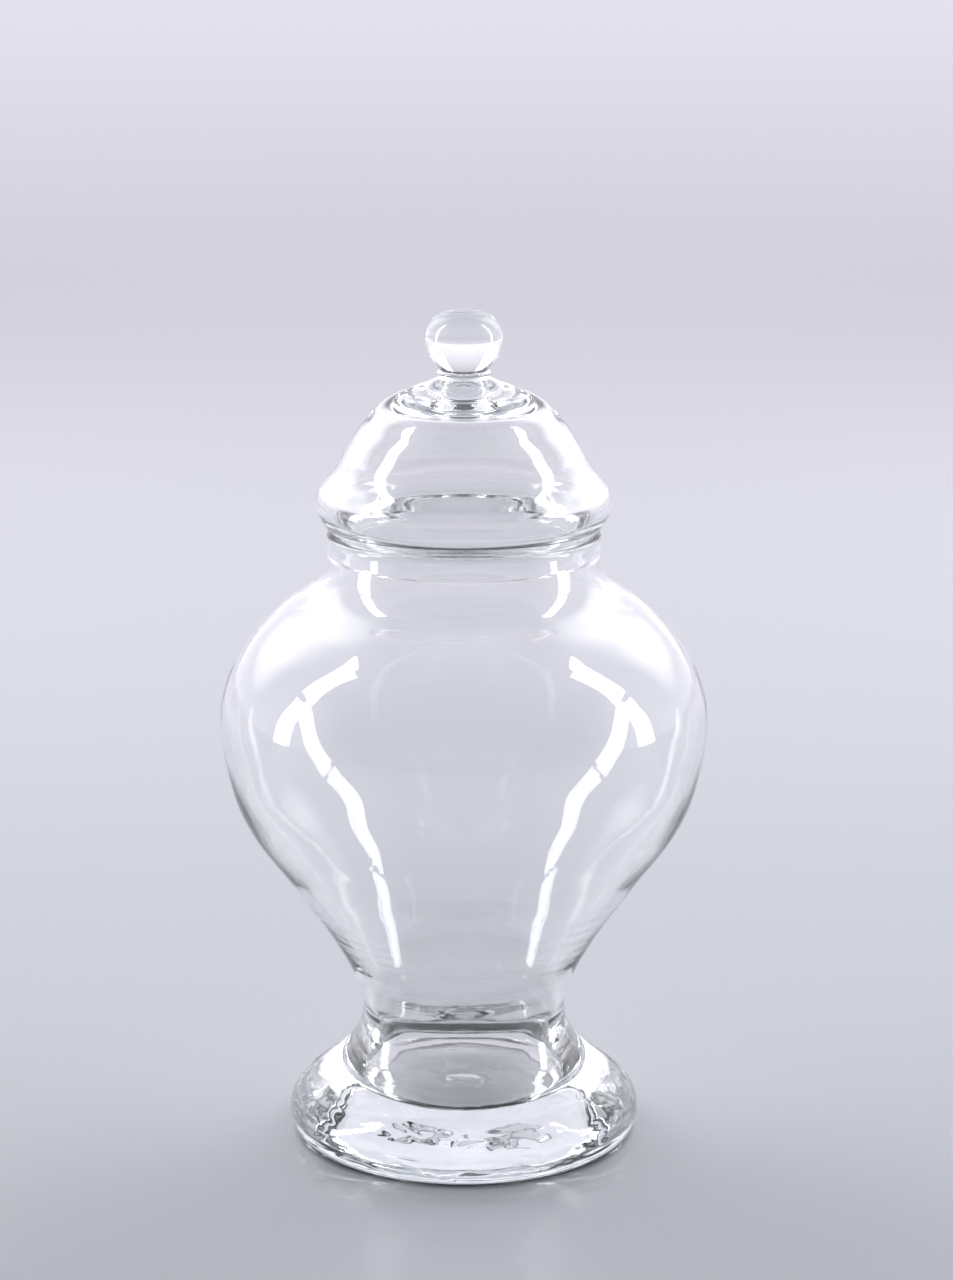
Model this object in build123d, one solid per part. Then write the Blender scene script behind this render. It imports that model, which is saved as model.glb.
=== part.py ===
"""Clear glass apothecary jar with a drop-in lid, in millimetres.

The jar stands on the XY plane with its axis on +Z. Every piece is a solid of revolution:
a blown body whose tail is bedded in an applied foot, and a blown lid with a merese and a
ball knob. A profile point is (radius, height), and every profile is closed on or beside the axis.
"""

from build123d import *
import math
import os

# ---- foot -------------------------------------------------------------------------------
foot_radius = 63.2  # widest, on the rounded edge
foot_under_radius = 7.0  # round between the edge and the underside
foot_edge_height = 13.5  # where the edge would meet the flare without its round
foot_edge_radius = 9.2  # round between the edge and the flare
flare_top_height = 35.4  # where the flare would meet the waist without its sweep
flare_share = 0.62  # how much of the flare stays straight below the sweep
rest_ring_width = 5.0  # flat ring that the jar stands on
underside_recess = 1.2  # the underside is ground hollow by this much
pontil_radius = 9.0  # polished-out pontil scar in the middle of the underside
pontil_depth = 0.8

# ---- body -------------------------------------------------------------------------------
waist_radius = 36.5
waist_height = 46.0
belly_radius = 86.3
belly_height = 153.5
neck_radius = 48.2
neck_height = 213.0  # bottom of the upright part of the neck
rim_height = 222.0
neck_wall = 4.0
shoulder_wall = 3.2
belly_wall = 2.9
flank_wall = 3.6
waist_wall = 4.4
well_radius = 38.2  # the cavity widens again below the waist, into a well in the foot
well_floor_height = 14.4
well_round = 6.0
tail_step = 1.2  # ledge of foot glass around the tail, just below the waist
tail_wall = 4.0  # the tail's glass around and under the well

# ---- lid --------------------------------------------------------------------------------
seat_gap = 0.1  # lid flange above the rim when the lid is at rest
collar_clearance = 1.2  # between the lid's collar and the neck, all round
collar_depth = 9.2
collar_wall = 3.0
collar_edge = 0.4  # chamfer on the collar's ground lower edge
flange_inset = 0.6  # the flange's edge lies this far inside the neck's outside
roll_overhang = 3.9  # the lid's widest part stands this far outside the neck
roll_height = 10.5  # of its widest part, above the flange
dome_shoulder_radius = 27.6
dome_shoulder_height = 45.9  # above the flange
crown_height = 54.0  # knob seat above the flange
crown_underside_height = 43.6  # above the flange
lid_wall = 3.6
dimple_radius = 8.6  # hollow under the crown, left by the blowing iron
dimple_height = 8.4

# ---- knob -------------------------------------------------------------------------------
merese_radius = 9.5
merese_height = 2.8
merese_round = 1.1
ball_seat_radius = 8.3
ball_radius = 13.4
ball_equator_height = 11.0  # above the merese
ball_height = 21.1

tail_bottom_height = well_floor_height - tail_wall
well_side_height = well_floor_height + well_round
flange_height = rim_height + seat_gap
flange_edge_radius = neck_radius - flange_inset
roll_radius = neck_radius + roll_overhang
collar_radius = neck_radius - neck_wall - collar_clearance
collar_bottom_height = flange_height - collar_depth
collar_bore = collar_radius - collar_wall
crown_seat_height = flange_height + crown_height
ball_seat_height = crown_seat_height + merese_height


def between(start, end, share_radius, share_height):
    """A point that lies some share of the way from start to end, in radius and in height."""
    return (
        start[0] + (end[0] - start[0]) * share_radius,
        start[1] + (end[1] - start[1]) * share_height,
    )


def inset(points, walls, first_direction, last_direction):
    """Stations moved square off the outline to its left, each by its own wall."""
    moved = []
    for number, (point, wall) in enumerate(zip(points, walls)):
        if number == 0:
            along = first_direction
        elif number == len(points) - 1:
            along = last_direction
        else:
            before, after = points[number - 1], points[number + 1]
            along = (after[0] - before[0], after[1] - before[1])
        length = math.hypot(*along)
        moved.append(
            (point[0] - along[1] / length * wall, point[1] + along[0] / length * wall)
        )
    return moved


def smooth(*points, tangents):
    """A smooth curve through the points that leaves and arrives along the two tangents."""
    return Spline(*points, tangents=tangents, tangent_scalars=[1.0, 1.0])


def turned(*outline):
    """The solid of revolution about Z of a closed outline of (radius, height) curves."""
    return revolve(Plane.XZ * make_face(Curve() + list(outline)), Axis.Z)


# Stations of the body's outside, from the waist up to the neck, each with its wall.
waist = (waist_radius, waist_height)
belly = (belly_radius, belly_height)
neck = (neck_radius, neck_height)
body_stations = [
    (waist, waist_wall),
    (between(waist, belly, 0.043, 0.098), waist_wall),
    (between(waist, belly, 0.195, 0.242), flank_wall + 0.3),
    (between(waist, belly, 0.522, 0.465), flank_wall),
    (between(waist, belly, 0.851, 0.688), flank_wall - 0.3),
    (between(waist, belly, 0.960, 0.850), belly_wall),
    (belly, belly_wall),
    (between(belly, neck, 0.031, 0.176), belly_wall),
    (between(belly, neck, 0.163, 0.378), belly_wall),
    (between(belly, neck, 0.507, 0.647), shoulder_wall),
    (between(belly, neck, 0.887, 0.849), neck_wall),
    (neck, neck_wall),
]
body_outside = [point for point, wall in body_stations]
body_walls = [wall for point, wall in body_stations]
UP, DOWN, INWARDS, OUTWARDS = (0, 1), (0, -1), (-1, 0), (1, 0)

# Stations of the well's side, from its widest place up to the inside of the waist.
well_side = (well_radius, well_side_height)
waist_inside = (waist_radius - waist_wall, waist_height)
well_stations = [
    well_side,
    between(well_side, waist_inside, 0.26, 0.18),
    between(well_side, waist_inside, 0.69, 0.415),
    waist_inside,
]


def foot_outside():
    """The foot's outside: standing ring, rounded edge, straight flare and sweep to the waist."""
    edge = (foot_radius, foot_edge_height)
    flare_top = (waist_radius, flare_top_height)
    sweep_start = between(edge, flare_top, flare_share, flare_share)
    flare_direction = (flare_top[0] - edge[0], flare_top[1] - edge[1])
    return [
        FilletPolyline(
            (foot_radius - foot_under_radius - rest_ring_width, 0),
            (foot_radius, 0),
            edge,
            sweep_start,
            radius=[foot_under_radius, foot_edge_radius],
        ),
        smooth(
            sweep_start,
            between(sweep_start, waist, 0.706, 0.471),
            waist,
            tangents=[flare_direction, UP],
        ),
    ]


def tail_outside():
    """The body's tail inside the foot, from the waist down to the axis, and the foot's socket."""
    outwards = [-tail_wall] * len(well_stations)
    side, *middle, _ = inset(well_stations, outwards, UP, UP)
    step = (waist_radius - tail_step, waist_height)
    corner_end = (well_radius - well_round, tail_bottom_height)
    return [
        Line(waist, step),
        smooth(step, *reversed(middle), side, tangents=[DOWN, DOWN]),
        RadiusArc(side, corner_end, well_round + tail_wall),
        Line(corner_end, (0, tail_bottom_height)),
    ]


def make_jar_body():
    """The blown vessel: fire-polished rim, neck, shoulder, belly, and the tail with its well."""
    body_inside = inset(body_outside, body_walls, UP, UP)
    lip = neck_wall / 2
    rim_side = rim_height - lip
    bore = neck_radius - neck_wall
    corner_end = (well_radius - well_round, well_floor_height)
    return turned(
        smooth(*body_outside, tangents=[UP, UP]),
        Line(neck, (neck_radius, rim_side)),
        ThreePointArc(
            (neck_radius, rim_side), (neck_radius - lip, rim_height), (bore, rim_side)
        ),
        Line((bore, rim_side), body_inside[-1]),
        smooth(*reversed(body_inside), *reversed(well_stations[:-1]), tangents=[DOWN, DOWN]),
        RadiusArc(well_side, corner_end, well_round),
        Line(corner_end, (0, well_floor_height)),
        Line((0, well_floor_height), (0, tail_bottom_height)),
        *tail_outside(),
    )


def make_jar_foot():
    """The applied foot: a heavy rounded edge, a flare up to the waist and the tail's socket."""
    ring_inside = foot_radius - foot_under_radius - rest_ring_width
    pontil_edge = (pontil_radius, underside_recess)
    return turned(
        *foot_outside(),
        *tail_outside(),
        Line((0, tail_bottom_height), (0, underside_recess + pontil_depth)),
        ThreePointArc(
            (0, underside_recess + pontil_depth),
            (pontil_radius * 0.6, underside_recess + pontil_depth * 0.64),
            pontil_edge,
        ),
        smooth(pontil_edge, (ring_inside, 0), tangents=[OUTWARDS, (1, -0.1)]),
    )


def make_lid_shell():
    """The blown lid: collar, flange, rolled edge, dome and a thick crown with its dimple."""
    flange_edge = (flange_edge_radius, flange_height + 0.9)
    roll = (roll_radius, flange_height + roll_height)
    shoulder = (dome_shoulder_radius, flange_height + dome_shoulder_height)
    crown_edge = (merese_radius + 1.2, crown_seat_height - 0.5)
    dome = [
        between(roll, shoulder, 0.086, 0.147),
        between(roll, shoulder, 0.278, 0.322),
        between(roll, shoulder, 0.465, 0.548),
        between(roll, shoulder, 0.686, 0.774),
    ]
    crown = between(shoulder, crown_edge, 0.520, 0.550)
    inside = inset([roll, *dome, shoulder], [lid_wall] * 5 + [lid_wall + 0.6], UP, (-1, 0.62))
    bore_top = (collar_bore, flange_height - 1.0)
    underside = flange_height + crown_underside_height
    dimple_edge = (dimple_radius, underside)
    dimple_top = (0, underside + dimple_height)
    return turned(
        Line(
            (collar_bore + collar_edge, collar_bottom_height),
            (collar_radius - collar_edge, collar_bottom_height),
        ),
        Line(
            (collar_radius - collar_edge, collar_bottom_height),
            (collar_radius, collar_bottom_height + collar_edge),
        ),
        Line((collar_radius, collar_bottom_height + collar_edge), (collar_radius, flange_height)),
        Line((collar_radius, flange_height), (flange_edge_radius - 0.9, flange_height)),
        ThreePointArc(
            (flange_edge_radius - 0.9, flange_height),
            (flange_edge_radius - 0.26, flange_height + 0.26),
            flange_edge,
        ),
        smooth(
            flange_edge,
            between(flange_edge, roll, 0.60, 0.45),
            roll,
            *dome,
            shoulder,
            crown,
            crown_edge,
            tangents=[(0.4, 1), (-1, 0.4)],
        ),
        Line(crown_edge, (merese_radius, crown_seat_height)),
        Line((merese_radius, crown_seat_height), (0, crown_seat_height)),
        Line((0, crown_seat_height), dimple_top),
        smooth(
            dimple_top,
            (dimple_radius * 0.62, underside + dimple_height * 0.52),
            dimple_edge,
            tangents=[OUTWARDS, (1, -0.6)],
        ),
        smooth(dimple_edge, *reversed(inside), tangents=[(1, 0), DOWN]),
        smooth(inside[0], bore_top, tangents=[DOWN, DOWN]),
        Line(bore_top, (collar_bore, collar_bottom_height + collar_edge)),
        Line(
            (collar_bore, collar_bottom_height + collar_edge),
            (collar_bore + collar_edge, collar_bottom_height),
        ),
    )


def make_knob_merese():
    """The flat button of glass between the crown and the ball."""
    low, high = crown_seat_height, ball_seat_height
    return turned(
        FilletPolyline(
            (0, low),
            (merese_radius, low),
            (merese_radius, high),
            (0, high),
            radius=merese_round,
        ),
        Line((0, high), (0, low)),
    )


def make_knob_ball():
    """The solid ball, a little flat on top and drawn in towards the merese."""
    seat = (ball_seat_radius, ball_seat_height)
    equator = (ball_radius, ball_seat_height + ball_equator_height)
    top = (0, ball_seat_height + ball_height)
    return turned(
        Line((0, ball_seat_height), seat),
        smooth(
            seat,
            between(seat, equator, 0.70, 0.45),
            equator,
            between(equator, top, 0.150, 0.610),
            between(equator, top, 0.480, 0.890),
            top,
            tangents=[(1, 0.9), INWARDS],
        ),
        Line(top, (0, ball_seat_height)),
    )


pieces = {
    "jar_body": make_jar_body(),
    "jar_foot": make_jar_foot(),
    "lid_shell": make_lid_shell(),
    "knob_merese": make_knob_merese(),
    "knob_ball": make_knob_ball(),
}

os.makedirs("parts", exist_ok=True)
for name, piece in pieces.items():
    export_step(piece, f"parts/{name}.step")
    print(name, "volume cm3", round(piece.volume / 1000, 1), piece.bounding_box().size)
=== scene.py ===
"""Looks for the clear glass apothecary jar: one skin for the footed vessel, one for the lid."""

import math

import bmesh
import bpy
from bpy.props import FloatProperty, FloatVectorProperty, IntProperty, PointerProperty
from bpy.types import Operator, Panel, PropertyGroup
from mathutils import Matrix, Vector


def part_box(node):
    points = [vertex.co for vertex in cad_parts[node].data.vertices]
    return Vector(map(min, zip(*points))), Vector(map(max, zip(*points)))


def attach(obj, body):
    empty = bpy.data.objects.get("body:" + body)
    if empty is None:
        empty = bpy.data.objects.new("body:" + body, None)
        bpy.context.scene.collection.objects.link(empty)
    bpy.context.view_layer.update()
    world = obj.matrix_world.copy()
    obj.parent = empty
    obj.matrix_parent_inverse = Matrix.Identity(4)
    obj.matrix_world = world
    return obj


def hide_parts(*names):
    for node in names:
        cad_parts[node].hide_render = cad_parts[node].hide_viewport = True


bl_info = {
    "name": "Apothecary Jar Glass",
    "version": (1, 0, 0),
    "blender": (4, 5, 0),
    "location": "3D View > Sidebar > Jar",
    "description": "Turns the glass vessel and lid of a footed apothecary jar, and lights them",
    "category": "Object",
}

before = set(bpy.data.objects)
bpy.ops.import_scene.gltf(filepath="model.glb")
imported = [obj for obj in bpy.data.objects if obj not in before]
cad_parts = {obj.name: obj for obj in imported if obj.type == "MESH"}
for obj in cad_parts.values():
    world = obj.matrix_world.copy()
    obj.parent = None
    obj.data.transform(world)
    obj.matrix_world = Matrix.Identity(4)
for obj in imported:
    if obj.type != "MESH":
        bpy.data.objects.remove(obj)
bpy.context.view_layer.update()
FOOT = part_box("jar_foot")[1]
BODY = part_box("jar_body")[1]
LID_LOW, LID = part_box("lid_shell")
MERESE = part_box("knob_merese")[1]
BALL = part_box("knob_ball")[1]
SMOOTH, CORNER = "AUTO", "VECTOR"
GLASS_IOR = 1.52
GLASS_DENSITY = 3.0  # absorption to the metre, with the tint
CREASE = math.radians(32)  # edges that bend more than this stay sharp
FLOOR_RADIUS = 9.0
STRIP_SIDE, STRIP_BACK, STRIP_WIDTH = 1.1, 0.02, 0.17
STRIPS = (("low", 0.42, 0.62), ("high", 1.22, 0.86))  # name, height of the middle, length
SOFTBOX_PLACE, SOFTBOX_AIM, SOFTBOX_SIZE = (0.90, 0.98, 1.10), (0, 0, 0.30), (1.1, 1.5)
CAMERA_PLACE, CAMERA_TILT, CAMERA_LENS, CAMERA_SHIFT = (0, -1.207, 0.4877), 14.2, 99.1, 0.0098
PATHS_THROUGH_GLASS, PATHS_OFF_GLASS = 32, 16  # light bounces that often inside the solid foot


# ---- sizes and colours ------------------------------------------------------------------


def length(name, description, default, **more):
    """A setting in metres."""
    return FloatProperty(
        name=name, description=description, default=default, unit="LENGTH", **more
    )


def count(name, description, default, low, high):
    """A whole-number setting."""
    return IntProperty(name=name, description=description, default=default, min=low, max=high)


def number(name, description, default):
    """A plain number."""
    return FloatProperty(name=name, description=description, default=default)


def shade(name, description, default):
    """A colour."""
    return FloatVectorProperty(
        name=name, description=description, default=default, subtype="COLOR", min=0, max=1
    )


class JarVesselSettings(PropertyGroup):
    """Sizes and finish of the footed vessel."""

    segments: count("Segments", "Facets round the axis", 192, 48, 256)
    spans: count("Rows per span", "Rows between two stations", 8, 2, 16)
    well_radius: length("Well radius", "Inside of the well in the foot", 0.0382)
    well_floor: length("Well floor", "Height of the well's floor", 0.0144)
    waist_wall: length("Waist wall", "Glass at the waist", 0.0044)
    flank_wall: length("Flank wall", "Glass of the lower bowl", 0.0036)
    belly_wall: length("Belly wall", "Glass at the belly", 0.0029)
    shoulder_wall: length("Shoulder wall", "Glass of the shoulder", 0.0032)
    neck_wall: length("Neck wall", "Glass of the neck", 0.0040)
    wave_height: length("Wave height", "Depth of the blown surface's slow waves", 0.00012)
    wave_scale: number("Wave scale", "Slow waves to the metre", 26.0)
    seed: count("Seed", "Which waves this piece has", 3, 0, 1000)


class JarLidSettings(PropertyGroup):
    """Sizes and finish of the lid with its merese and ball."""

    segments: count("Segments", "Facets round the axis", 192, 48, 256)
    spans: count("Rows per span", "Rows between two stations", 8, 2, 16)
    collar_wall: length("Collar wall", "Glass of the collar", 0.0030)
    dome_wall: length("Dome wall", "Glass of the dome", 0.0036)
    dimple_radius: length("Dimple radius", "Hollow under the crown", 0.0092)
    dimple_height: length("Dimple height", "Hollow under the crown", 0.0094)
    wave_height: length("Wave height", "Depth of the blown surface's slow waves", 0.00010)
    wave_scale: number("Wave scale", "Slow waves to the metre", 34.0)
    seed: count("Seed", "Which waves this piece has", 11, 0, 1000)


class JarGlassSettings(PropertyGroup):
    """Finish of the glass."""

    tint: shade("Tint", "What thick glass lets through", (0.86, 0.95, 0.93))
    ripple: length("Ripple", "Depth of the fine ripples", 0.00005, precision=6)
    smudge: number("Smudge", "Roughness of faint hand marks", 0.035)


class JarStageSettings(PropertyGroup):
    """Floor, room and lights."""

    floor_near: shade("Floor, near", "Floor round the jar", (0.90, 0.94, 0.97))
    floor_far: shade("Floor, far", "Floor two metres off and beyond", (0.93, 0.92, 0.97))
    wall_low: shade("Wall, low", "The room at eye level", (0.82, 0.81, 0.90))
    wall_high: shade("Wall, high", "The room higher up", (0.50, 0.49, 0.55))
    ceiling: shade("Ceiling", "The room overhead", (0.10, 0.10, 0.12))
    # painted shade: how much of the floor's colour is left in the ring under the foot
    painted_ring_shade: number("Ring shade", "How pale the floor stays under the foot's ring", 0.12)
    front: number("Front", "How much of that light the room's front gives", 0.16)
    strip_glow: number("Strips", "Radiance of the two tall side strips", 11.0)
    rear_glow: number("Softboxes", "Radiance of the two rear softboxes", 2.4)
    room: number("Room", "Strength of the room's light", 1.38)


# ---- outlines ---------------------------------------------------------------------------


def share(start, end, radius_share, height_share):
    """A point some share of the way from start to end, in radius and in height."""
    return (
        start[0] + (end[0] - start[0]) * radius_share,
        start[1] + (end[1] - start[1]) * height_share,
    )


def inset(points, walls):
    """The inside stations: each point moved square off the outline, to its left, by its wall."""
    moved = []
    for number, (point, wall) in enumerate(zip(points, walls)):
        if number in (0, len(points) - 1):
            along = Vector((0, 1))
        else:
            before, after = points[number - 1], points[number + 1]
            along = Vector((after[0] - before[0], after[1] - before[1])).normalized()
        moved.append((point[0] - along.y * wall, point[1] + along.x * wall))
    return moved


def vessel_outline(sizes):
    """Stations of the footed vessel, from under the foot, up the outside and down the inside."""
    foot, waist = FOOT.x, (0.0365, FOOT.z)
    belly, neck = (BODY.x, 0.1535), (0.0482, BODY.z - 0.009)
    outside = [
        (waist, sizes.waist_wall),
        (share(waist, belly, 0.043, 0.098), sizes.waist_wall),
        (share(waist, belly, 0.195, 0.242), sizes.flank_wall + 0.0003),
        (share(waist, belly, 0.522, 0.465), sizes.flank_wall),
        (share(waist, belly, 0.851, 0.688), sizes.flank_wall - 0.0003),
        (share(waist, belly, 0.960, 0.850), sizes.belly_wall),
        (belly, sizes.belly_wall),
        (share(belly, neck, 0.031, 0.176), sizes.belly_wall),
        (share(belly, neck, 0.163, 0.378), sizes.belly_wall),
        (share(belly, neck, 0.507, 0.647), sizes.shoulder_wall),
        (share(belly, neck, 0.887, 0.849), sizes.neck_wall),
        (neck, sizes.neck_wall),
    ]
    points = [point for point, wall in outside]
    inside = inset(points, [wall for point, wall in outside])
    lip, rim, bore = sizes.neck_wall / 2, BODY.z, neck[0] - sizes.neck_wall
    well, floor = sizes.well_radius, sizes.well_floor
    stations = [
        # the hollow underside, with the polished pontil scar in its middle
        (0, 0.0020, SMOOTH),
        (0.0054, 0.0017, SMOOTH),
        (0.0090, 0.0012, SMOOTH),
        (0.0300, 0.0010, SMOOTH),
        (foot - 0.0140, 0.0001, SMOOTH),
        # the standing ring and the round of the foot's edge
        (foot - 0.0110, 0, CORNER),
        (foot - 0.0070, 0.0002, SMOOTH),
        (foot - 0.0021, 0.0021, SMOOTH),
        (foot, 0.0070, SMOOTH),
        (foot, 0.0090, SMOOTH),
        (foot - 0.0011, 0.0130, SMOOTH),
        # the flare
        (foot - 0.0044, 0.0172, SMOOTH),
        (foot - 0.0110, 0.0226, SMOOTH),
        (0.0467, 0.0271, SMOOTH),
        (0.0395, 0.0360, SMOOTH),
    ]
    stations += [(*point, SMOOTH) for point in points]
    stations += [
        # the fire-polished lip
        (neck[0], rim - lip * 1.6, SMOOTH),
        (neck[0] - lip * 0.14, rim - lip * 0.5, SMOOTH),
        (neck[0] - lip, rim, SMOOTH),
        (bore + lip * 0.14, rim - lip * 0.5, SMOOTH),
        (bore, rim - lip * 1.6, SMOOTH),
    ]
    stations += [(*point, SMOOTH) for point in reversed(inside)]
    side, waist_inside = (well, floor + 0.0060), inside[0]
    stations += [
        # the well's side and floor
        (*share(side, waist_inside, 0.97, 0.69), SMOOTH),
        (*share(side, waist_inside, 0.69, 0.415), SMOOTH),
        (*share(side, waist_inside, 0.26, 0.18), SMOOTH),
        (*side, SMOOTH),
        (well - 0.0009, floor + 0.0027, SMOOTH),
        (well - 0.0040, floor + 0.0007, SMOOTH),
        (well - 0.0100, floor + 0.0001, SMOOTH),
        (well * 0.5, floor, SMOOTH),
        (0, floor, SMOOTH),
    ]
    return stations


def lid_outline(sizes):
    """Stations of the lid, from the dimple under its crown round the collar to the ball's top."""
    flange, seat = LID_LOW.z + 0.0092, LID.z
    roll = (LID.x, flange + 0.0105)
    flange_edge = (0.0476, flange + 0.0009)
    shoulder = (0.0276, flange + 0.0459)
    crown_edge = (MERESE.x + 0.0012, seat - 0.0005)
    dome = [
        share(roll, shoulder, 0.086, 0.147),
        share(roll, shoulder, 0.278, 0.322),
        share(roll, shoulder, 0.465, 0.548),
        share(roll, shoulder, 0.686, 0.774),
    ]
    crown = share(shoulder, crown_edge, 0.520, 0.550)
    inside = inset([roll, *dome, shoulder, crown], [sizes.dome_wall] * 7)[:6]
    collar, low = 0.0430, LID_LOW.z
    bore = collar - sizes.collar_wall
    under = flange + 0.0436
    ball, waist, top = BALL.x, MERESE.z, BALL.z
    equator = (ball, waist + 0.0110)
    stations = [
        # the dimple under the crown
        (0, under + sizes.dimple_height, SMOOTH),
        (sizes.dimple_radius * 0.30, under + sizes.dimple_height * 0.90, SMOOTH),
        (sizes.dimple_radius * 0.62, under + sizes.dimple_height * 0.52, SMOOTH),
        (sizes.dimple_radius, under, SMOOTH),
        (0.0150, under + 0.0001, SMOOTH),
    ]
    stations += [(*point, SMOOTH) for point in reversed(inside)]
    stations += [
        # down the inside, round the collar and out along the flange
        (0.0462, flange + 0.0056, SMOOTH),
        (0.0428, flange + 0.0024, SMOOTH),
        (bore, flange - 0.0010, SMOOTH),
        (bore, low + 0.0004, CORNER),
        (bore + 0.0004, low, CORNER),
        (collar - 0.0004, low, CORNER),
        (collar, low + 0.0004, CORNER),
        (collar, flange, CORNER),
        (0.0467, flange, CORNER),
        (0.04734, flange + 0.00026, SMOOTH),
        (*flange_edge, SMOOTH),
        (*share(flange_edge, roll, 0.60, 0.45), SMOOTH),
        (*roll, SMOOTH),
    ]
    stations += [(*point, SMOOTH) for point in dome]
    stations += [
        # the crown, the merese and the ball
        (*shoulder, SMOOTH),
        (*crown, SMOOTH),
        (*crown_edge, SMOOTH),
        (MERESE.x - 0.0002, seat + 0.0002, CORNER),
        (MERESE.x, seat + 0.0011, SMOOTH),
        (MERESE.x, waist - 0.0011, SMOOTH),
        (MERESE.x - 0.0006, waist - 0.0002, SMOOTH),
        (0.0086, waist + 0.0001, CORNER),
        (*share((0.0083, waist), equator, 0.70, 0.45), SMOOTH),
        (*equator, SMOOTH),
        (*share(equator, (0, top), 0.150, 0.610), SMOOTH),
        (*share(equator, (0, top), 0.480, 0.890), SMOOTH),
        (0, top, SMOOTH),
    ]
    return stations


def outline_curve(name, stations):
    """An open Bezier outline in the XZ plane through the stations."""
    curve = bpy.data.curves.new(name, "CURVE")
    curve.dimensions = "3D"
    spline = curve.splines.new("BEZIER")
    spline.bezier_points.add(len(stations) - 1)
    for point, (radius, height, handle) in zip(spline.bezier_points, stations):
        point.co = (radius, 0, height)
        point.handle_left_type = point.handle_right_type = handle
    return curve


# ---- the glassmaker's lathe -------------------------------------------------------------


def add(tree, kind, inputs=(), **settings):
    """A node of a kind with its settings and its inputs, which are values or sockets."""
    node = tree.nodes.new(kind)
    for name, value in settings.items():
        setattr(node, name, value)
    for key, value in dict(inputs).items():
        if isinstance(value, bpy.types.NodeSocket):
            tree.links.new(value, node.inputs[key])
        else:
            node.inputs[key].default_value = value
    return node


def calc(tree, operation, *values):
    """A Math node's result."""
    return add(tree, "ShaderNodeMath", enumerate(values), operation=operation).outputs[0]


def hump(tree, along):
    """A parabola that is 0 at 0 and at 1, and 1 half-way."""
    rest = calc(tree, "SUBTRACT", 1.0, along)
    return calc(tree, "MULTIPLY", calc(tree, "MULTIPLY", along, rest), 4.0)


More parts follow.
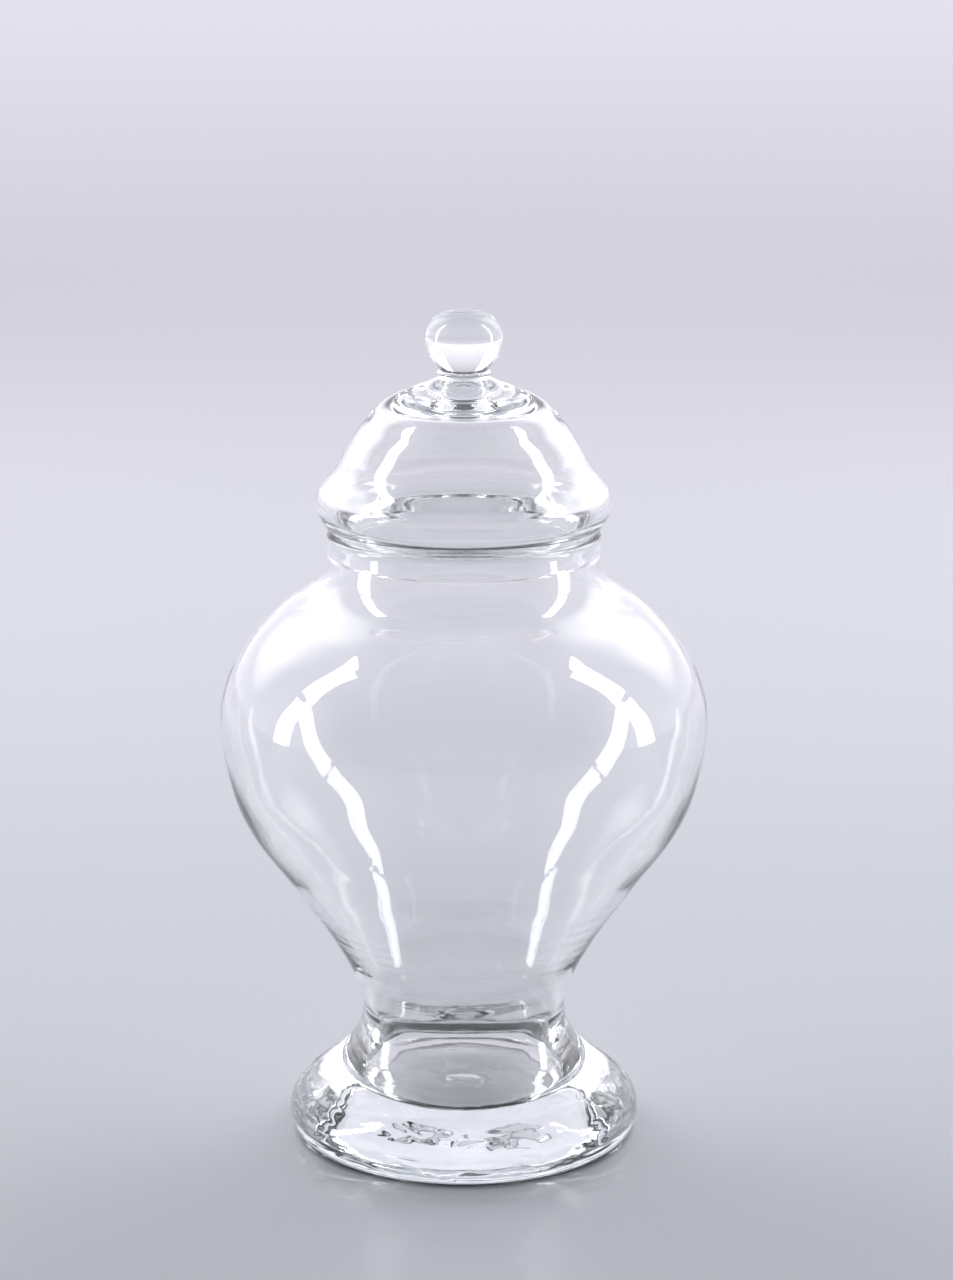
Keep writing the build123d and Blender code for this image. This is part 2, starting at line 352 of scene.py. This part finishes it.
def lathe_tree():
    """Geometry Nodes that turn an outline about Z and give it the slow waves of blown glass."""
    tree = bpy.data.node_groups.new("glass_lathe", "GeometryNodeTree")
    face = tree.interface
    face.new_socket("Outline", in_out="INPUT", socket_type="NodeSocketGeometry")
    for name, kind in (
        ("Segments", "NodeSocketInt"),
        ("Wave Height", "NodeSocketFloat"),
        ("Wave Scale", "NodeSocketFloat"),
        ("Seed", "NodeSocketInt"),
        ("Glass", "NodeSocketMaterial"),
    ):
        face.new_socket(name, in_out="INPUT", socket_type=kind)
    face.new_socket("Turned", in_out="OUTPUT", socket_type="NodeSocketGeometry")
    given = tree.nodes.new("NodeGroupInput").outputs

    line = add(
        tree, "GeometryNodeResampleCurve", {"Curve": given["Outline"]}, mode="EVALUATED"
    )
    rows = add(
        tree, "GeometryNodeAttributeDomainSize", {"Geometry": line.outputs[0]}, component="CURVE"
    ).outputs["Point Count"]
    columns = calc(tree, "ADD", given["Segments"], 1)
    grid = add(tree, "GeometryNodeMeshGrid", {"Vertices X": columns, "Vertices Y": rows})
    index = tree.nodes.new("GeometryNodeInputIndex").outputs[0]
    column = calc(tree, "FLOOR", calc(tree, "DIVIDE", calc(tree, "ADD", index, 0.5), rows))
    row = calc(tree, "SUBTRACT", index, calc(tree, "MULTIPLY", column, rows))
    place = tree.nodes.new("GeometryNodeInputPosition").outputs[0]
    station = sample_station(tree, line.outputs[0], place, row)
    split = add(tree, "ShaderNodeSeparateXYZ", {0: station})
    angle = calc(tree, "MULTIPLY", calc(tree, "DIVIDE", column, given["Segments"]), 2 * math.pi)
    turned = add(
        tree,
        "ShaderNodeCombineXYZ",
        {
            0: calc(tree, "MULTIPLY", split.outputs[0], calc(tree, "COSINE", angle)),
            1: calc(tree, "MULTIPLY", split.outputs[0], calc(tree, "SINE", angle)),
            2: split.outputs[2],
        },
    ).outputs[0]
    shell = add(tree, "GeometryNodeSetPosition", {"Geometry": grid.outputs[0], "Position": turned})
    closed = add(
        tree, "GeometryNodeMergeByDistance", {"Geometry": shell.outputs[0], "Distance": 2e-6}
    )

    shift_x = calc(tree, "MULTIPLY", given["Seed"], 3.7)
    shift_z = calc(tree, "MULTIPLY", given["Seed"], 1.9)
    shift = add(tree, "ShaderNodeCombineXYZ", {0: shift_x, 2: shift_z}).outputs[0]
    stretched = add(
        tree, "ShaderNodeVectorMath", {0: place, 1: (1.0, 1.0, 0.55)}, operation="MULTIPLY"
    ).outputs[0]
    moved = add(tree, "ShaderNodeVectorMath", {0: stretched, 1: shift}, operation="ADD").outputs[0]
    noise = add(
        tree, "ShaderNodeTexNoise", {"Vector": moved, "Scale": given["Wave Scale"], "Detail": 1.0}
    ).outputs[0]
    height = add(tree, "ShaderNodeSeparateXYZ", {0: place}).outputs[2]
    clear_of_floor = add(
        tree,
        "ShaderNodeMapRange",
        {"Value": height, "From Min": 0.002, "From Max": 0.016},
        interpolation_type="SMOOTHSTEP",
    ).outputs[0]
    wave = calc(tree, "MULTIPLY", noise, given["Wave Height"])
    depth = calc(tree, "MULTIPLY", wave, clear_of_floor)
    normal = tree.nodes.new("GeometryNodeInputNormal").outputs[0]
    inward = add(
        tree,
        "ShaderNodeVectorMath",
        {0: normal, "Scale": calc(tree, "MULTIPLY", depth, -1.0)},
        operation="SCALE",
    ).outputs[0]
    blown = add(tree, "GeometryNodeSetPosition", {"Geometry": closed.outputs[0], "Offset": inward})
    round_faces = add(
        tree,
        "GeometryNodeSetShadeSmooth",
        {"Geometry": blown.outputs[0], "Shade Smooth": True},
        domain="FACE",
    )
    bend = tree.nodes.new("GeometryNodeInputMeshEdgeAngle").outputs["Unsigned Angle"]
    gentle = calc(tree, "LESS_THAN", bend, CREASE)
    soft = add(
        tree,
        "GeometryNodeSetShadeSmooth",
        {"Geometry": round_faces.outputs[0], "Shade Smooth": gentle},
        domain="EDGE",
    )
    solid = add(tree, "GeometryNodeRealizeInstances", {0: soft.outputs[0]})
    coated = add(
        tree, "GeometryNodeSetMaterial", {"Geometry": solid.outputs[0], "Material": given["Glass"]}
    )
    out = tree.nodes.new("NodeGroupOutput")
    tree.links.new(coated.outputs[0], out.inputs[0])
    return tree


def sample_station(tree, line, place, row):
    """The outline's point at a row."""
    node = tree.nodes.new("GeometryNodeSampleIndex")
    node.data_type = "FLOAT_VECTOR"
    node.domain = "POINT"
    for socket, value in (("Geometry", line), ("Value", place), ("Index", row)):
        tree.links.new(value, node.inputs[socket])
    return node.outputs[0]


def turn(name, stations, settings, glass):
    """A closed glass skin turned from its outline, as a plain mesh with outward faces."""
    curve = outline_curve(name + "_outline", stations)
    curve.resolution_u = settings.spans
    source = bpy.data.objects.new(name + "_outline", curve)
    bpy.context.scene.collection.objects.link(source)
    tree = bpy.data.node_groups.get("glass_lathe") or lathe_tree()
    modifier = source.modifiers.new("lathe", "NODES")
    modifier.node_group = tree
    values = {
        "Segments": settings.segments,
        "Wave Height": settings.wave_height,
        "Wave Scale": settings.wave_scale,
        "Seed": settings.seed,
        "Glass": glass,
    }
    for item in tree.interface.items_tree:
        if item.in_out == "INPUT" and item.name in values:
            modifier[item.identifier] = values[item.name]
    depsgraph = bpy.context.evaluated_depsgraph_get()
    mesh = bpy.data.meshes.new_from_object(source.evaluated_get(depsgraph), depsgraph=depsgraph)
    bpy.data.objects.remove(source)
    if len(mesh.polygons) < 1000:
        raise RuntimeError(f"{name}: the lathe gave only {len(mesh.polygons)} faces")
    face_outward(mesh)
    mesh.name = name
    piece = bpy.data.objects.new(name, mesh)
    bpy.context.scene.collection.objects.link(piece)
    return piece


def face_outward(mesh):
    """Recalculates the normals of a closed skin."""
    work = bmesh.new()
    work.from_mesh(mesh)
    bmesh.ops.recalc_face_normals(work, faces=work.faces)
    if work.calc_volume(signed=True) < 0:
        bmesh.ops.reverse_faces(work, faces=work.faces)
    open_edges = sum(1 for edge in work.edges if not edge.is_manifold)
    if open_edges:
        raise RuntimeError(f"{mesh.name}: {open_edges} open edges")
    work.to_mesh(mesh)
    work.free()


# ---- glass ------------------------------------------------------------------------------


def blown_group():
    """Ripples, chill marks round the axis, the foot's swirls and hand marks of blown glass."""
    group = bpy.data.node_groups.new("blown_surface", "ShaderNodeTree")
    face = group.interface
    for name, kind, value in (
        ("Ripple Scale", "NodeSocketFloat", 60.0),
        ("Chill Low", "NodeSocketFloat", 0.052),
        ("Chill High", "NodeSocketFloat", 0.096),
        ("Chill Amount", "NodeSocketFloat", 1.0),
        ("Foot Amount", "NodeSocketFloat", 0.0),
        ("Smudge", "NodeSocketFloat", 0.03),
    ):
        face.new_socket(name, in_out="INPUT", socket_type=kind).default_value = value
    face.new_socket("Height", in_out="OUTPUT", socket_type="NodeSocketFloat")
    face.new_socket("Roughness", in_out="OUTPUT", socket_type="NodeSocketFloat")
    given = group.nodes.new("NodeGroupInput").outputs
    place = group.nodes.new("ShaderNodeTexCoord").outputs["Object"]
    slow = add(
        group, "ShaderNodeTexNoise", {"Vector": place, "Scale": given["Ripple Scale"], "Detail": 2.0}
    ).outputs[0]
    flat = add(
        group, "ShaderNodeVectorMath", {0: place, 1: (0.35, 0.35, 3.2)}, operation="MULTIPLY"
    ).outputs[0]
    rings = add(
        group,
        "ShaderNodeTexNoise",
        {"Vector": flat, "Scale": 95.0, "Detail": 2.0, "Roughness": 0.4},
    ).outputs[0]
    height = add(group, "ShaderNodeSeparateXYZ", {0: place}).outputs[2]
    rise = calc(group, "SUBTRACT", height, given["Chill Low"])
    span = calc(group, "SUBTRACT", given["Chill High"], given["Chill Low"])
    along = calc(group, "DIVIDE", rise, span)
    band = calc(group, "MAXIMUM", hump(group, along), 0.0)
    ringed = calc(group, "MULTIPLY", rings, band)
    chill = calc(group, "MULTIPLY", ringed, given["Chill Amount"])
    grain = add(
        group, "ShaderNodeVectorMath", {0: place, 1: (0.6, 0.6, 2.2)}, operation="MULTIPLY"
    ).outputs[0]
    swirl = add(
        group,
        "ShaderNodeTexNoise",
        {"Vector": grain, "Scale": 110.0, "Detail": 1.0, "Distortion": 0.9},
    ).outputs[0]
    low = add(
        group,
        "ShaderNodeMapRange",
        {"Value": height, "From Min": 0.020, "From Max": 0.040, "To Min": 1.0, "To Max": 0.0},
        interpolation_type="SMOOTHSTEP",
    ).outputs[0]
    swirled = calc(group, "MULTIPLY", swirl, low)
    foot = calc(group, "MULTIPLY", swirled, given["Foot Amount"])
    even = calc(group, "ADD", calc(group, "MULTIPLY", slow, 0.5), chill)
    total = calc(group, "ADD", even, foot)
    marks = add(
        group,
        "ShaderNodeTexNoise",
        {"Vector": place, "Scale": 42.0, "Detail": 5.0, "Roughness": 0.7},
    ).outputs[0]
    patch = add(
        group,
        "ShaderNodeMapRange",
        {"Value": marks, "From Min": 0.58, "From Max": 0.80, "To Min": 0.0, "To Max": 1.0},
    ).outputs[0]
    rough = calc(group, "MULTIPLY", patch, given["Smudge"])
    out = group.nodes.new("NodeGroupOutput")
    group.links.new(total, out.inputs["Height"])
    group.links.new(rough, out.inputs["Roughness"])
    return group


def glass(name, tint, ripple, smudge, ripple_scale, chill, foot):
    """Clear soda-lime glass with its own ripples, chill marks and swirls."""
    material = bpy.data.materials.new(name)
    material.use_nodes = True
    tree = material.node_tree
    shader = tree.nodes["Principled BSDF"]
    shader.inputs["Base Color"].default_value = (1, 1, 1, 1)
    shader.inputs["IOR"].default_value = GLASS_IOR
    shader.inputs["Transmission Weight"].default_value = 1.0
    surface = tree.nodes.new("ShaderNodeGroup")
    surface.node_tree = bpy.data.node_groups.get("blown_surface") or blown_group()
    surface.inputs["Ripple Scale"].default_value = ripple_scale
    surface.inputs["Chill Amount"].default_value = chill
    surface.inputs["Foot Amount"].default_value = foot
    surface.inputs["Smudge"].default_value = smudge
    bump = add(
        tree,
        "ShaderNodeBump",
        {"Height": surface.outputs["Height"], "Distance": ripple, "Strength": 1.0},
    )
    tree.links.new(bump.outputs[0], shader.inputs["Normal"])
    tree.links.new(surface.outputs["Roughness"], shader.inputs["Roughness"])
    volume = add(tree, "ShaderNodeVolumeAbsorption")
    volume.inputs["Color"].default_value = (*tint, 1)
    volume.inputs["Density"].default_value = GLASS_DENSITY
    tree.links.new(volume.outputs[0], tree.nodes["Material Output"].inputs["Volume"])
    return material


def pale_floor(look):
    """A pale satin floor, with painted shade: its colour is darkened in a ring under the foot's
    standing ring.
    """
    material = bpy.data.materials.new("pale_floor")
    material.use_nodes = True
    tree = material.node_tree
    shader = tree.nodes["Principled BSDF"]
    place = tree.nodes.new("ShaderNodeTexCoord").outputs["Object"]
    radius = add(tree, "ShaderNodeVectorMath", {0: place}, operation="LENGTH").outputs["Value"]
    beyond = add(
        tree,
        "ShaderNodeMapRange",
        {"Value": radius, "From Min": 0.30, "From Max": 2.0},
    ).outputs[0]
    colour = add(
        tree,
        "ShaderNodeMix",
        {"Factor": beyond, 6: (*look.floor_near, 1), 7: (*look.floor_far, 1)},
        data_type="RGBA",
    )
    # painted shade: the floor's colour is darkened in a ring under the foot's standing ring, so the
    # glass at the waist shows a dark band
    from_ring = calc(tree, "ABSOLUTE", calc(tree, "SUBTRACT", radius, 0.050))
    painted_shade_factor = add(
        tree,
        "ShaderNodeMapRange",
        {"Value": from_ring, "From Min": 0.008, "From Max": 0.013, "To Min": look.painted_ring_shade},
        interpolation_type="SMOOTHSTEP",
    ).outputs[0]
    shaded = add(
        tree, "ShaderNodeVectorMath", {0: colour.outputs[2], "Scale": painted_shade_factor}, operation="SCALE"
    )
    tree.links.new(shaded.outputs[0], shader.inputs["Base Color"])
    shader.inputs["Roughness"].default_value = 0.15
    shader.inputs["Specular IOR Level"].default_value = 0.3
    return material


# ---- operators --------------------------------------------------------------------------


class JAR_OT_vessel(Operator):
    """Turns the footed vessel's glass"""

    bl_idname = "jar.vessel"
    bl_label = "Turn the vessel"

    def execute(self, context):
        sizes, finish = context.scene.jar_vessel, context.scene.jar_glass
        skin = glass("vessel_glass", finish.tint, finish.ripple, finish.smudge, 60.0, 1.6, 5.5)
        piece = turn("vessel_glass", vessel_outline(sizes), sizes, skin)
        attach(piece, "jar")
        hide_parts("jar_body", "jar_foot")
        return {"FINISHED"}


class JAR_OT_lid(Operator):
    """Turns the lid's glass with its merese and ball"""

    bl_idname = "jar.lid"
    bl_label = "Turn the lid"

    def execute(self, context):
        sizes, finish = context.scene.jar_lid, context.scene.jar_glass
        skin = glass("lid_glass", finish.tint, finish.ripple, finish.smudge, 80.0, 0.0, 0.0)
        piece = turn("lid_glass", lid_outline(sizes), sizes, skin)
        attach(piece, "lid")
        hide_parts("lid_shell", "knob_merese", "knob_ball")
        return {"FINISHED"}


class JAR_OT_stage(Operator):
    """Lays the pale floor, and hangs the lights and the camera"""

    bl_idname = "jar.stage"
    bl_label = "Set the stage"

    def execute(self, context):
        look = context.scene.jar_stage
        ground = stage_disc("floor", FLOOR_RADIUS, pale_floor(look))
        passed_over = bpy.data.collections.new("passed_over_by_strips")
        passed_over.objects.link(ground)
        passed_over.collection_objects[0].light_linking.link_state = "EXCLUDE"
        for side, name in ((-1, "left"), (1, "right")):
            for level, height, tall in STRIPS:
                place = (STRIP_SIDE * side, STRIP_BACK, height)
                size = (STRIP_WIDTH, tall)
                strip = hang(
                    f"strip_{level}_{name}", place, (0, 0, height), size, look.strip_glow, False
                )
                strip.light_linking.receiver_collection = passed_over
            place = (SOFTBOX_PLACE[0] * side, *SOFTBOX_PLACE[1:])
            hang(f"softbox_{name}", place, SOFTBOX_AIM, SOFTBOX_SIZE, look.rear_glow, True)
        context.scene.world = room(look)
        paths = context.scene.cycles
        paths.max_bounces = paths.transmission_bounces = PATHS_THROUGH_GLASS
        paths.glossy_bounces = PATHS_OFF_GLASS
        camera = bpy.data.cameras.new("camera")
        camera.lens = CAMERA_LENS
        camera.sensor_width = 36.0
        camera.shift_x = CAMERA_SHIFT
        seat = bpy.data.objects.new("camera", camera)
        context.scene.collection.objects.link(seat)
        seat.location = CAMERA_PLACE
        seat.rotation_euler = (math.radians(90 - CAMERA_TILT), 0, 0)
        context.scene.camera = seat
        context.scene.view_settings.view_transform = "Standard"
        return {"FINISHED"}


def room(look):
    """A pale room that is brightest low down at the back, and dim overhead and in front."""
    world = bpy.data.worlds.new("pale_room")
    world.use_nodes = True
    tree = world.node_tree
    direction = tree.nodes.new("ShaderNodeTexCoord").outputs["Generated"]
    split = add(tree, "ShaderNodeSeparateXYZ", {0: direction})
    ramp = add(tree, "ShaderNodeValToRGB", {0: split.outputs[2]})
    stops = ramp.color_ramp.elements
    for element, place, colour in zip(stops, (0.0, 0.60), (look.wall_low, look.wall_high)):
        element.position, element.color = place, (*colour, 1)
    for place, colour in ((0.80, look.wall_high), (0.90, look.ceiling)):
        stops.new(place).color = (*colour, 1)
    behind = add(
        tree,
        "ShaderNodeMapRange",
        {"Value": split.outputs[1], "From Min": -0.55, "From Max": 0.10, "To Min": look.front},
        interpolation_type="SMOOTHSTEP",
    ).outputs[0]
    colour = add(
        tree, "ShaderNodeVectorMath", {0: ramp.outputs[0], "Scale": behind}, operation="SCALE"
    )
    tree.links.new(colour.outputs[0], tree.nodes["Background"].inputs["Color"])
    tree.nodes["Background"].inputs["Strength"].default_value = look.room
    return world


def stage_disc(name, radius, material):
    """A flat stage disc about the jar's axis."""
    sides = 96
    turns = [2 * math.pi * step / sides for step in range(sides)]
    points = [(0, 0, 0), *((radius * math.cos(a), radius * math.sin(a), 0) for a in turns)]
    faces = [(0, step + 1, (step + 1) % sides + 1) for step in range(sides)]
    mesh = bpy.data.meshes.new(name)
    mesh.from_pydata(points, [], faces)
    mesh.shade_smooth()
    mesh.materials.append(material)
    piece = bpy.data.objects.new(name, mesh)
    bpy.context.scene.collection.objects.link(piece)
    return piece


def hang(name, place, aim, size, glow, soft):
    """A lit panel that the camera doesn't see, even or fading out to its edges."""
    light = bpy.data.lights.new(name, "AREA")
    light.shape = "RECTANGLE"
    light.size, light.size_y = size
    light.energy = glow * math.pi * size[0] * size[1]
    if soft:
        light.use_nodes = True
        tree = light.node_tree
        panel = tree.nodes.new("ShaderNodeNewGeometry").outputs["Parametric"]
        across = add(tree, "ShaderNodeSeparateXYZ", {0: panel}).outputs
        fade = calc(tree, "MULTIPLY", hump(tree, across[0]), hump(tree, across[1]))
        tree.links.new(fade, tree.nodes["Emission"].inputs["Strength"])
    box = bpy.data.objects.new(name, light)
    bpy.context.scene.collection.objects.link(box)
    box.location = place
    box.rotation_euler = (Vector(aim) - Vector(place)).to_track_quat("-Z", "Y").to_euler()
    box.visible_camera = False
    return box


class JAR_PT_panel(Panel):
    """The jar's pieces and settings"""

    bl_idname = "JAR_PT_panel"
    bl_label = "Apothecary jar"
    bl_space_type = "VIEW_3D"
    bl_region_type = "UI"
    bl_category = "Jar"

    def draw(self, context):
        for name, action in SECTIONS:
            box = self.layout.box()
            settings = getattr(context.scene, name)
            for key in settings.__annotations__:
                box.prop(settings, key)
            if action:
                box.operator(action)


SECTIONS = (
    ("jar_vessel", "jar.vessel"),
    ("jar_lid", "jar.lid"),
    ("jar_glass", None),
    ("jar_stage", "jar.stage"),
)
SETTINGS = {
    "jar_vessel": JarVesselSettings,
    "jar_lid": JarLidSettings,
    "jar_glass": JarGlassSettings,
    "jar_stage": JarStageSettings,
}
CLASSES = (*SETTINGS.values(), JAR_OT_vessel, JAR_OT_lid, JAR_OT_stage, JAR_PT_panel)


def register():
    """Registers the classes and hangs the settings on the scene."""
    for item in CLASSES:
        bpy.utils.register_class(item)
    for name, group in SETTINGS.items():
        setattr(bpy.types.Scene, name, PointerProperty(type=group))


def unregister():
    """Takes the settings and classes away again."""
    for name in SETTINGS:
        delattr(bpy.types.Scene, name)
    for item in reversed(CLASSES):
        bpy.utils.unregister_class(item)


def main():
    """Builds the jar and its stage."""
    register()
    bpy.ops.jar.stage()
    bpy.ops.jar.vessel()
    bpy.ops.jar.lid()


if __name__ == "__main__":
    main()
